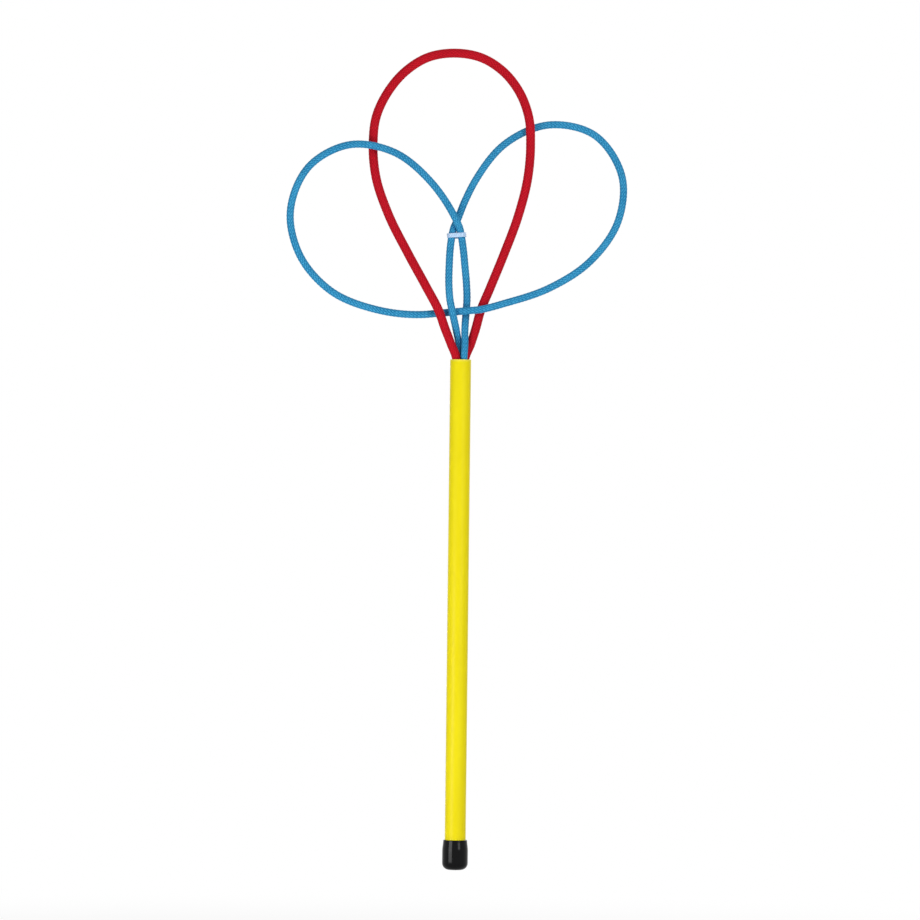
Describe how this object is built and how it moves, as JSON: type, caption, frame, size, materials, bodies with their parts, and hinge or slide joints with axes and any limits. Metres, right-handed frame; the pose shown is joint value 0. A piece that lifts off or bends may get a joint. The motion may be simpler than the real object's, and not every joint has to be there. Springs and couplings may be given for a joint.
{
  "type": "bubble wand",
  "caption": "Long tube handle with a soft foot cap and a head of interlaced sprung cord loops that carry soap film for making giant bubbles.",
  "frame": {"origin": "on the tube's axis, in the middle of the hand's hold, 60 mm above the cap's lip", "axes": "+Z along the handle towards the loops, -Y towards the front of the loops, +X to the right as seen from the front"},
  "size_m": [0.2156, 0.0164, 0.5212],
  "materials": {
    "yellow_paint": "gloss lemon yellow paint on thin tube",
    "plug_plastic": "plain moulded plug",
    "black_vinyl": "dipped black vinyl, satin to gloss",
    "red_braid": "fine braided polyester sleeve",
    "blue_braid": "fine braided polyester sleeve",
    "core_nylon": "natural nylon rod",
    "tie_nylon": "translucent natural nylon"
  },
  "bodies": {
    "handle": {"handle_tube": "yellow_paint", "cord_plug": "plug_plastic"},
    "cap": {"end_cap": "black_vinyl"},
    "neck": {"red_leg_ends": "red_braid", "blue_leg_ends": "blue_braid"},
    "head": {"red_loop": "red_braid", "red_core": "core_nylon", "blue_loop": "blue_braid", "blue_core": "core_nylon", "crotch_tie": "tie_nylon"}
  },
  "joints": [
    {"name": "head_sway", "type": "hinge", "parent": "handle", "child": "neck", "pos_m": [0, 0, 0.2475], "axis": [1, 0, 0], "range_deg": [-25, 25], "stiffness_Nm_per_rad": 0.25, "deforming": ["red_leg_ends", "blue_leg_ends", "red_core", "blue_core"]},
    {"name": "head_side_sway", "type": "hinge", "parent": "neck", "child": "head", "pos_m": [0, 0, 0.2525], "axis": [0, 1, 0], "range_deg": [-12, 12], "stiffness_Nm_per_rad": 0.4, "deforming": ["red_leg_ends", "blue_leg_ends", "red_core", "blue_core"]},
    {"name": "cap_pull", "type": "slide", "parent": "handle", "child": "cap", "axis": [0, 0, -1], "range_m": [0, 0.025]}
  ]
}
